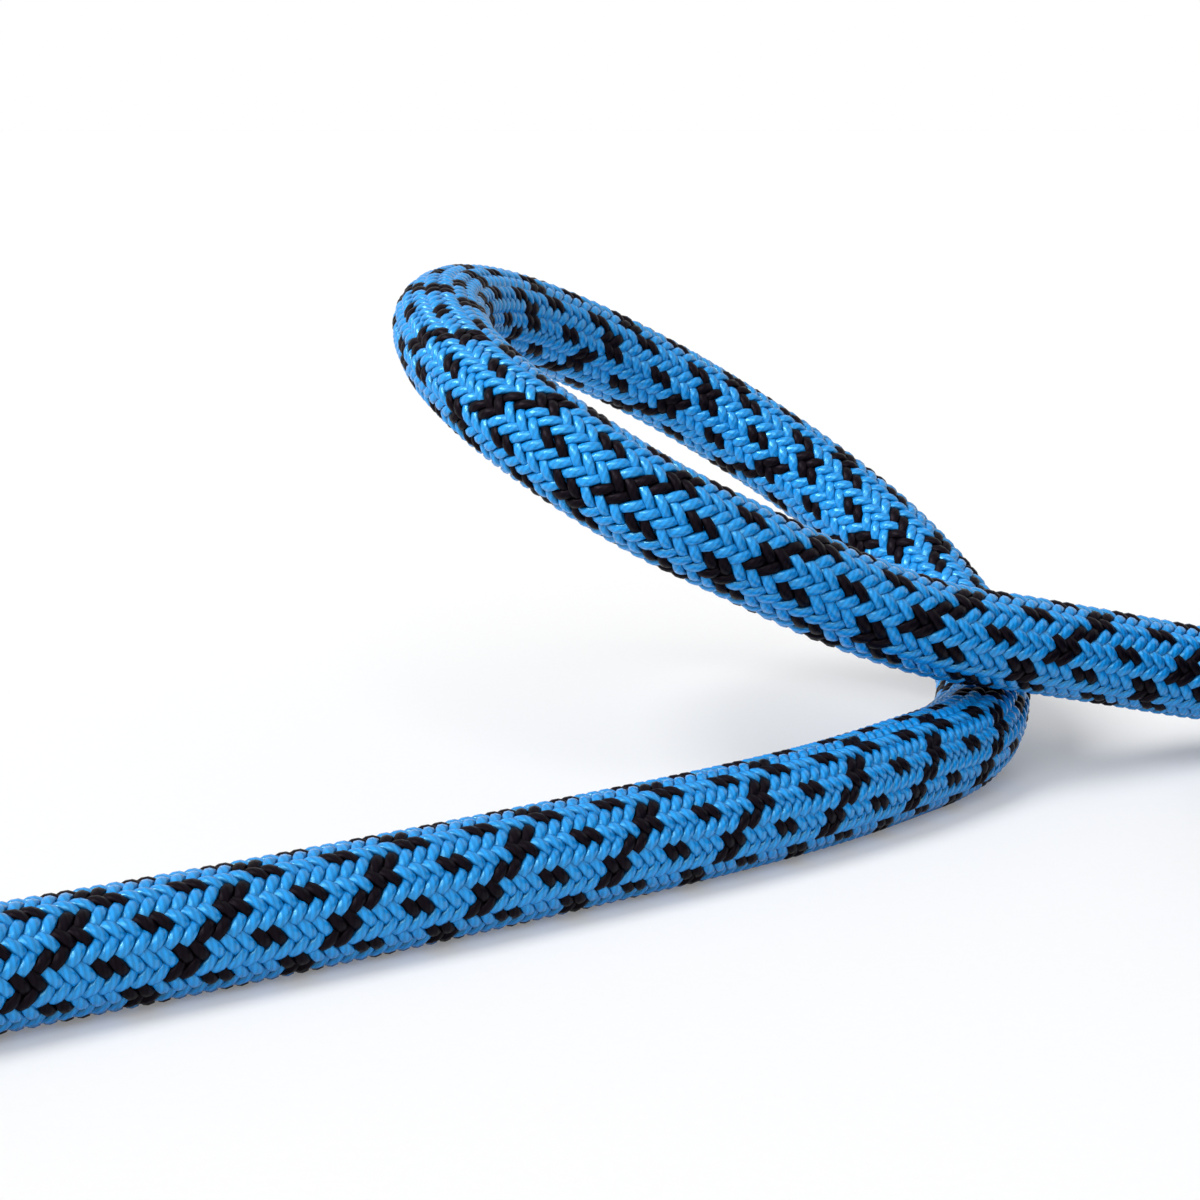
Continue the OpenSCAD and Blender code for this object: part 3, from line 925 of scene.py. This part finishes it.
def sleeve_piece(name, node, cut, outward):
    """Shrink sleeve of one end: it shows the braid below it, folds near its mouth and curls in there."""
    ends = bpy.context.scene.end_sizes
    colours = bpy.context.scene.rope_colours
    deselect()
    bpy.ops.mesh.primitive_cylinder_add(vertices=80, radius=ends.sleeve_r, depth=ends.sleeve_l,
                                        end_fill_type="NOTHING")
    sleeve = bpy.context.object
    clear_mesh_selection("EDGE")
    for edge in sleeve.data.edges:
        low, high = (sleeve.data.vertices[k].co.z for k in edge.vertices)
        edge.select = abs(high - low) > 0.5 * ends.sleeve_l
    bpy.ops.object.mode_set(mode="EDIT")
    bpy.ops.mesh.subdivide(number_cuts=51)
    bpy.ops.object.mode_set(mode="OBJECT")
    for vert in sleeve.data.vertices:
        x, y, z = vert.co
        bearing = math.atan2(y, x)
        from_mouth = (ends.sleeve_l / 2 - z) / MM
        braid = math.cos(10 * bearing + z / MM * 2.05) * math.cos(10 * bearing - z / MM * 2.05)
        fold = math.sin(5 * bearing + 1.0) * math.exp(-((from_mouth - 3.0) / 1.6) ** 2)
        curl = 0.30 * max(0.0, 1.0 - from_mouth / 1.2) ** 2
        tight = 0.06 * max(0.0, 1.0 - (z + ends.sleeve_l / 2) / MM / 3.0)
        radius = 1.0 - (0.07 - 0.05 * braid - 0.05 * fold + curl + tight) * MM / ends.sleeve_r
        vert.co.x = x * radius
        vert.co.y = y * radius
    add_wall(sleeve, ends.sleeve_t, -1.0)
    soften_edges(sleeve, 0.12 * MM)
    apply_all(sleeve)
    put_on_end(sleeve, cut, outward, ends.seal_l - ends.sleeve_l / 2)
    settle(sleeve, name, finish_named("shrink_tube", sleeve_finish, colours.sleeve), node)


def strap_fit(line, angle):
    """Where one strap lies: its directions, the outlines of its band and tail, and the tail's start."""
    coil = bpy.context.scene.coil_sizes
    fit = SimpleNamespace()
    fit.centre = line.plan.centre * [1, 1, 0]
    fit.radial = np.array([math.cos(angle), math.sin(angle), 0.0])
    fit.sideways = np.array([-math.sin(angle), math.cos(angle), 0.0])
    offset = rope_sizes().rope_d / 2 + coil.strap_gap + coil.strap_t / 2
    fit.inner, fit.inner_l = strap_outline(line, fit, offset, 180)
    fit.outer, fit.outer_l = strap_outline(line, fit, offset + coil.strap_t, 720)
    start = int(np.argmin(np.hypot(fit.inner[:, 0] - fit.inner[:, 0].max(), fit.inner[:, 1] - coil.start_z)))
    fit.begin = int(np.argmin(np.hypot(*(fit.outer - fit.inner[start] - [coil.strap_t, 0]).T)))
    return fit


def strap_outline(line, fit, offset, count):
    """Even points, as radius and height, of a line round the turns that one strap holds."""
    rel = line.p - line.plan.centre
    beside = np.abs(rel @ fit.sideways) <= bpy.context.scene.coil_sizes.strap_w / 2
    near = beside & (rel @ fit.radial > 0) & (line.s > line.free_l)
    turns = np.column_stack([(rel @ fit.radial)[near], line.p[near, 2]])
    facing = np.linspace(0.0, math.tau, 1441)
    ways = np.column_stack([np.cos(facing), np.sin(facing)])
    loop = turns[np.argmax(turns @ ways.T, axis=0)] + offset * ways
    reach = np.concatenate([[0.0], np.cumsum(np.linalg.norm(np.diff(loop, axis=0), axis=1))])
    even = reach[-1] * np.arange(count) / count
    return np.column_stack([np.interp(even, reach, loop[:, k]) for k in (0, 1)]), reach[-1]


def strap_place(fit, r, z, beside):
    """The point at that radius and height, and so far beside the strap's middle line."""
    return fit.centre + r * fit.radial + z * UP + beside * fit.sideways


def tape_layer(piece):
    """The piece's map for the weave of the tape."""
    layer = piece.data.uv_layers.active or piece.data.uv_layers.new(name="Tape")
    layer.name = "Tape"
    return layer


def tape_map(piece, fit):
    """A map along and across the tape, in millimetres."""
    layer = tape_layer(piece)
    co = np.array([vert.co[:] for vert in piece.data.vertices]) - fit.centre
    flat = np.column_stack([co @ fit.radial, co[:, 2]])
    index = np.argmin(((flat[:, None] - fit.inner[None]) ** 2).sum(-1), axis=1)
    across = co @ fit.sideways
    step = fit.inner_l / len(fit.inner)
    for face in piece.data.polygons:
        wraps = max(index[k] for k in face.vertices) - min(index[k] for k in face.vertices) > 2
        for loop in face.loop_indices:
            vert = piece.data.loops[loop].vertex_index
            along = index[vert] + (len(fit.inner) if wraps and index[vert] < 3 else 0)
            layer.data[loop].uv = (along * step / MM, across[vert] / MM)


def strap_band(fit):
    """Woven tape round the turns."""
    coil = bpy.context.scene.coil_sizes
    deselect()
    bpy.ops.mesh.primitive_circle_add(vertices=len(fit.inner), radius=1.0)
    band = bpy.context.object
    for vert, (r, z) in zip(band.data.vertices, fit.inner):
        vert.co = strap_place(fit, r, z, -coil.strap_w / 2)
    bpy.ops.object.mode_set(mode="EDIT")
    bpy.ops.mesh.select_mode(type="EDGE")
    bpy.ops.mesh.select_all(action="SELECT")
    for _ in range(STRAP_STEPS):
        bpy.ops.mesh.extrude_edges_move(
            TRANSFORM_OT_translate={"value": tuple(fit.sideways * coil.strap_w / STRAP_STEPS)})
    bpy.ops.mesh.select_all(action="SELECT")
    bpy.ops.mesh.normals_make_consistent(inside=False)
    bpy.ops.object.mode_set(mode="OBJECT")
    tape_map(band, fit)
    add_wall(band, coil.strap_t, 0.0)
    soften_edges(band, TAPE_EDGE)
    apply_all(band)
    return band


def strap_tail(fit):
    """The tape's doubled end on the outside of the band, narrower at its tip."""
    coil = bpy.context.scene.coil_sizes
    tip = 0.18
    deselect()
    bpy.ops.mesh.primitive_grid_add(x_subdivisions=26, y_subdivisions=STRAP_STEPS, size=1.0)
    tail = bpy.context.object
    count = len(fit.outer)
    spots = []
    for vert in tail.data.vertices:
        share = vert.co.x + 0.5
        width = math.sqrt(max(0.0, 1.0 - max(0.0, (share - 1.0 + tip) / tip) ** 2 * 0.55))
        at = (fit.begin + share * coil.strap_tail_l / fit.outer_l * count) % count
        low = fit.outer[int(at)]
        high = fit.outer[(int(at) + 1) % count]
        r, z = low + (high - low) * (at - int(at))
        beside = vert.co.y * coil.strap_w * width * 0.98
        spots.append((share * coil.strap_tail_l / MM, beside / MM))
        vert.co = strap_place(fit, r, z, beside)
    layer = tape_layer(tail)
    for loop in tail.data.loops:
        layer.data[loop.index].uv = spots[loop.vertex_index]
    add_wall(tail, coil.strap_t * 0.96, 0.0)
    soften_edges(tail, TAPE_EDGE)
    apply_all(tail)
    return tail


def stitch_places(width):
    """Stitches of a sewn box on a strap's end: along it, across it, and whether they run across."""
    half = 0.36 * width
    near = 1.6 * MM
    far = near + 2 * half
    places = [(s, side * half, False) for side in (-1, 1) for s in np.linspace(near, far, 7)[1:-1]]
    places += [(s, side, True) for s in (near, far) for side in np.linspace(-half, half, 7)[1:-1]]
    return places


def strap_stitches(fit):
    """Thread of the sewn box on the tail, one rounded piece for each stitch."""
    coil = bpy.context.scene.coil_sizes
    finish = finish_named("sewing_thread", thread_finish, bpy.context.scene.rope_colours.thread)
    half_l, half_w, half_t = 0.55 * MM, 0.18 * MM, 0.13 * MM
    count = len(fit.outer)
    threads = []
    for s, beside, runs_across in stitch_places(coil.strap_w):
        at = int(fit.begin + s / fit.outer_l * count) % count
        away = unit(fit.outer[(at + 1) % count] - fit.outer[at - 1])
        out = np.array([away[1], -away[0]])
        r, z = fit.outer[at] + out * coil.strap_t * 0.5
        along = away[0] * fit.radial + away[1] * UP
        face = out[0] * fit.radial + out[1] * UP
        length, width = (fit.sideways, along) if runs_across else (along, fit.sideways)
        axes = np.column_stack([length * half_l, width * half_w, face * half_t])
        deselect()
        bpy.ops.mesh.primitive_uv_sphere_add(segments=8, ring_count=5, radius=1.0)
        thread = bpy.context.object
        for vert in thread.data.vertices:
            vert.co = strap_place(fit, r, z, beside) + axes @ np.array(vert.co)
        if np.linalg.det(axes) < 0:
            thread.data.flip_normals()
        thread.data.materials.append(finish)
        threads.append(thread)
    return threads


def strap_piece(line, name, node, angle):
    """One strap: a band of woven tape round the coil, with its doubled and stitched end outside."""
    fit = strap_fit(line, angle)
    band = strap_band(fit)
    tail = strap_tail(fit)
    threads = strap_stitches(fit)
    webbing = finish_named("strap_webbing", strap_finish, bpy.context.scene.rope_colours.strap)
    for piece in (band, tail):
        piece.data.materials.clear()
        piece.data.materials.append(webbing)
    deselect()
    for piece in (tail, *threads, band):
        piece.select_set(True)
    bpy.context.view_layer.objects.active = band
    bpy.ops.object.join()
    settle(band, name, None, node)


def set_sky(level):
    """White where it is looked at, and a lower level of plain light on the object."""
    world = bpy.data.worlds.new("white_room")
    world.use_nodes = True
    bpy.context.scene.world = world
    finish = Finish("white_room", world.node_tree)
    sky = finish.node("ShaderNodeBackground", None,
                      {"Color": WHITE, "Strength": level + (1.0 - level) * finish.shown()})
    finish.node("ShaderNodeOutputWorld", None, {"Surface": sky})


def lamp(name, place, spread, strength):
    """A far soft light from that direction, spread over so many degrees."""
    data = bpy.data.lights.new(name, "SUN")
    data.angle = math.radians(spread)
    data.energy = strength
    made = bpy.data.objects.new(name, data)
    bpy.context.scene.collection.objects.link(made)
    made.rotation_euler = (-Vector(place)).to_track_quat("-Z", "Y").to_euler()


class ROPE_OT_stage(bpy.types.Operator):
    """Set up the camera, the pale floor and the soft light"""

    bl_idname = "rope.stage"
    bl_label = "Stage"

    def execute(self, context):
        stage = context.scene.stage_sizes
        shift = route_shift()
        camera = bpy.data.objects.new("camera", bpy.data.cameras.new("camera"))
        context.scene.collection.objects.link(camera)
        camera.location = Vector((0.0, -stage.eye_back, stage.eye_z)) + Vector((shift[0], shift[1], 0.0))
        camera.rotation_euler = (math.pi / 2 - stage.eye_tilt, 0.0, 0.0)
        camera.data.lens = stage.lens
        camera.data.sensor_width = 36.0
        camera.data.clip_start = 0.01
        context.scene.camera = camera
        deselect()
        bpy.ops.mesh.primitive_plane_add(size=stage.floor_w)
        floor = context.object
        floor.name = "floor"
        floor.data.materials.append(floor_finish(stage.floor_white, stage.floor_glow))
        set_sky(stage.sky_level)
        for name, place, spread, strength in LAMPS:
            lamp(name, place, spread, strength)
        context.scene.view_settings.view_transform = "Standard"
        return {"FINISHED"}


class ROPE_OT_cords(bpy.types.Operator):
    """Lay the dark lining of the photographed stretch and of the coil along the rope's line, painted as the
    shade between the yarns
    """

    bl_idname = "rope.cords"
    bl_label = "Rope line"

    def execute(self, context):
        rope = rope_sizes()
        line = rope_line()
        # The lining's finish is painted shade between the yarns.
        dark = finish_named("yarn_shade", lining_finish, context.scene.rope_colours.lining)
        free, wound = line_steps(line)
        loop = plain_tube(line, "rope_loop", free, rope.lining_r, 16, dark)
        coil = plain_tube(line, "rope_coil", wound, rope.coil_lining_r, 12, dark)
        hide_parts("sheath_loop")
        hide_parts("coiled_rope")
        return {"FINISHED"}


class ROPE_OT_braid(bpy.types.Operator):
    """Braid the sheath of the photographed stretch from its forty yarns"""

    bl_idname = "rope.braid"
    bl_label = "Braid"

    def execute(self, context):
        line = rope_line()
        for name, way, numbers, finish in yarn_groups():
            yarn_piece(line, "braid_" + name, way, numbers, finish)
        return {"FINISHED"}


class ROPE_OT_coil_braid(bpy.types.Operator):
    """Braid the sheath of the coil from low floats"""

    bl_idname = "rope.coil_braid"
    bl_label = "Coil braid"

    def execute(self, context):
        line = rope_line()
        for name, way, numbers, finish in yarn_groups():
            float_piece(line, "coil_" + name, way, numbers, finish)
        return {"FINISHED"}


class ROPE_OT_core(bpy.types.Operator):
    """Lay the twelve twisted strands inside the sheath"""

    bl_idname = "rope.core"
    bl_label = "Core"

    def execute(self, context):
        rope = rope_sizes()
        line = rope_line()
        white = finish_named("core_yarn", core_finish, context.scene.rope_colours.core)
        inner_r = (rope.strand_r + rope.core_gap / 2) * 2 / math.sqrt(3)
        outer_r = rope.bore_r - rope.core_gap - rope.strand_r
        places = [(inner_r, math.tau * k / INNER_STRANDS) for k in range(INNER_STRANDS)]
        places += [(outer_r, math.tau * (k + 0.5) / OUTER_STRANDS) for k in range(OUTER_STRANDS)]
        for number, place in enumerate(places, 1):
            strand = twisted_strand(line, f"strand_{number:02d}", core_steps(line), place, white)
            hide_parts(f"core_strand_{number:02d}")
        return {"FINISHED"}


class ROPE_OT_tape(bpy.types.Operator):
    """Lay the marker tape between the core and the sheath"""

    bl_idname = "rope.tape"
    bl_label = "Marker tape"

    def execute(self, context):
        rope = rope_sizes()
        line = rope_line()
        film = finish_named("tape_film", film_finish, context.scene.rope_colours.tape)
        tape_r = rope.bore_r - 2 * rope.core_gap - rope.tape_t / 2
        tape = plain_tube(line, "film_tape", core_steps(line), rope.tape_t / 2, 8, film,
                          rope.tape_w / 2, (tape_r, 0.0), 0.35)
        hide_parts("marker_tape")
        return {"FINISHED"}


class ROPE_OT_seals(bpy.types.Operator):
    """Close both ends with a melted plug"""

    bl_idname = "rope.seals"
    bl_label = "Melted plugs"

    def execute(self, context):
        for name, node, cut, outward in rope_ends(rope_line()):
            seal_piece(name + "_plug", node + "_seal", cut, outward)
        return {"FINISHED"}


class ROPE_OT_sleeves(bpy.types.Operator):
    """Shrink a sleeve over both ends"""

    bl_idname = "rope.sleeves"
    bl_label = "Shrink sleeves"

    def execute(self, context):
        for name, node, cut, outward in rope_ends(rope_line()):
            sleeve_piece(name + "_tube", node + "_sleeve", cut, outward)
        return {"FINISHED"}


class ROPE_OT_straps(bpy.types.Operator):
    """Bind the coil with three webbing straps"""

    bl_idname = "rope.straps"
    bl_label = "Straps"

    def execute(self, context):
        line = rope_line()
        for name, node, degrees in STRAPS:
            strap_piece(line, name, node, line.plan.angle + math.radians(degrees))
        return {"FINISHED"}


class ROPE_OT_declare(bpy.types.Operator):
    """Work out the rope's line, and no more"""

    bl_idname = "rope.declare"
    bl_label = "Cord facts"

    def execute(self, context):
        line = rope_line()
        return {"FINISHED"}


class ROPE_PT_panel(bpy.types.Panel):
    """Sizes, colours and steps of the rope"""

    bl_idname = "ROPE_PT_panel"
    bl_label = "Climbing rope"
    bl_space_type = "VIEW_3D"
    bl_region_type = "UI"
    bl_category = "Rope"

    def draw(self, context):
        for step in STEPS:
            self.layout.operator(step.bl_idname)
        for name, group in GROUPS:
            box = self.layout.box()
            box.label(text=group.__doc__)
            for key in group.__annotations__:
                box.prop(getattr(context.scene, name), key)


STEPS = (
    ROPE_OT_stage, ROPE_OT_cords, ROPE_OT_braid, ROPE_OT_coil_braid, ROPE_OT_core, ROPE_OT_tape,
    ROPE_OT_seals, ROPE_OT_sleeves, ROPE_OT_straps, ROPE_OT_declare,
)
CLASSES = (RopeSizes, CoilSizes, EndSizes, RopeColours, StageSizes) + STEPS + (ROPE_PT_panel,)
GROUPS = (
    ("rope_sizes", RopeSizes), ("coil_sizes", CoilSizes), ("end_sizes", EndSizes),
    ("rope_colours", RopeColours), ("stage_sizes", StageSizes),
)


def register():
    for made in CLASSES:
        bpy.utils.register_class(made)
    for name, group in GROUPS:
        setattr(bpy.types.Scene, name, PointerProperty(type=group))


def unregister():
    for name, _ in GROUPS:
        delattr(bpy.types.Scene, name)
    for made in reversed(CLASSES):
        bpy.utils.unregister_class(made)


def main():
    register()
    bpy.ops.rope.stage()
    bpy.ops.rope.cords()
    bpy.ops.rope.braid()
    bpy.ops.rope.coil_braid()
    bpy.ops.rope.core()
    bpy.ops.rope.tape()
    bpy.ops.rope.seals()
    bpy.ops.rope.sleeves()
    bpy.ops.rope.straps()
    bpy.ops.rope.declare()


if __name__ == "__main__":
    main()
